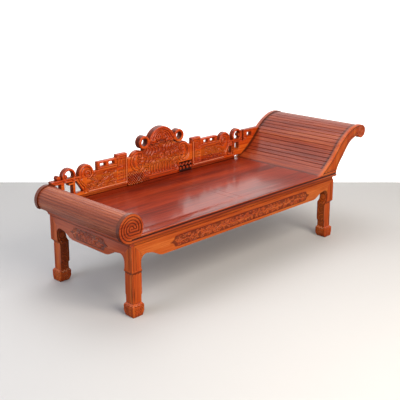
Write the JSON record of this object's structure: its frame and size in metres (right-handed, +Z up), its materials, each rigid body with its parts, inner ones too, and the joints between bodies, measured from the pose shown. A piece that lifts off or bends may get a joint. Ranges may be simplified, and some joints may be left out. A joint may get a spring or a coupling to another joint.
{
  "type": "daybed",
  "caption": "Wooden daybed with a carved pierced back, a reeded roll arm, an S-curved slatted headrest and bracket legs under a waisted, panelled seat.",
  "frame": {"origin": "on the floor, under the middle of the whole bounding box", "axes": "+X along the bed towards the raised headrest, +Y towards the carved back, +Z up"},
  "size_m": [2.087, 0.72, 0.7559],
  "materials": {
    "apron_wood": "gloss lacquer over red-orange rosewood",
    "carved_wood": "gloss lacquer over red-orange rosewood, dark in the hollows",
    "frame_wood": "gloss lacquer over red-orange rosewood",
    "leg_wood": "gloss lacquer over red-brown rosewood, worn paler on ridges",
    "panel_wood": "high-gloss lacquer over deep red rosewood",
    "reed_wood": "gloss lacquer over pinkish brown rosewood",
    "slat_wood": "gloss lacquer over brick red rosewood",
    "underside_wood": "satin lacquer over red-brown rosewood"
  },
  "bodies": {
    "root": {"apron_back": "apron_wood", "apron_front": "apron_wood", "apron_left": "apron_wood", "apron_right": "apron_wood", "back_centre_board": "carved_wood", "back_dowels": "underside_wood", "back_wing_left": "carved_wood", "back_wing_right": "carved_wood", "batten_1": "underside_wood", "batten_2": "underside_wood", "batten_3": "underside_wood", "batten_4": "underside_wood", "head_bearer_lower": "underside_wood", "head_bearer_upper": "underside_wood", "head_board_base": "slat_wood", "head_scroll_core": "underside_wood", "head_slat_01": "slat_wood", "head_slat_02": "slat_wood", "head_slat_03": "slat_wood", "head_slat_04": "slat_wood", "head_slat_05": "slat_wood", "head_slat_06": "slat_wood", "head_slat_07": "slat_wood", "head_slat_08": "slat_wood", "head_slat_09": "slat_wood", "head_slat_10": "slat_wood", "head_slat_11": "slat_wood", "head_slat_12": "slat_wood", "head_slat_13": "slat_wood", "head_slat_14": "slat_wood", "head_slat_15": "slat_wood", "head_slat_16": "slat_wood", "head_slat_17": "slat_wood", "head_slat_18": "slat_wood", "head_slat_19": "slat_wood", "head_slat_20": "slat_wood", "head_stile_back": "frame_wood", "head_stile_front": "frame_wood", "leg_back_left": "leg_wood", "leg_back_right": "leg_wood", "leg_front_left": "leg_wood", "leg_front_right": "leg_wood", "rail_back": "frame_wood", "rail_front": "frame_wood", "rail_left": "frame_wood", "rail_right": "frame_wood", "roll_disc_back": "carved_wood", "roll_disc_front": "carved_wood", "roll_formers": "underside_wood", "roll_soffit": "reed_wood", "roll_staves": "reed_wood", "seat_muntin": "frame_wood", "seat_panel_left": "panel_wood", "seat_panel_right": "panel_wood", "waist_back": "apron_wood", "waist_front": "apron_wood", "waist_right": "apron_wood"}
  },
  "joints": []
}
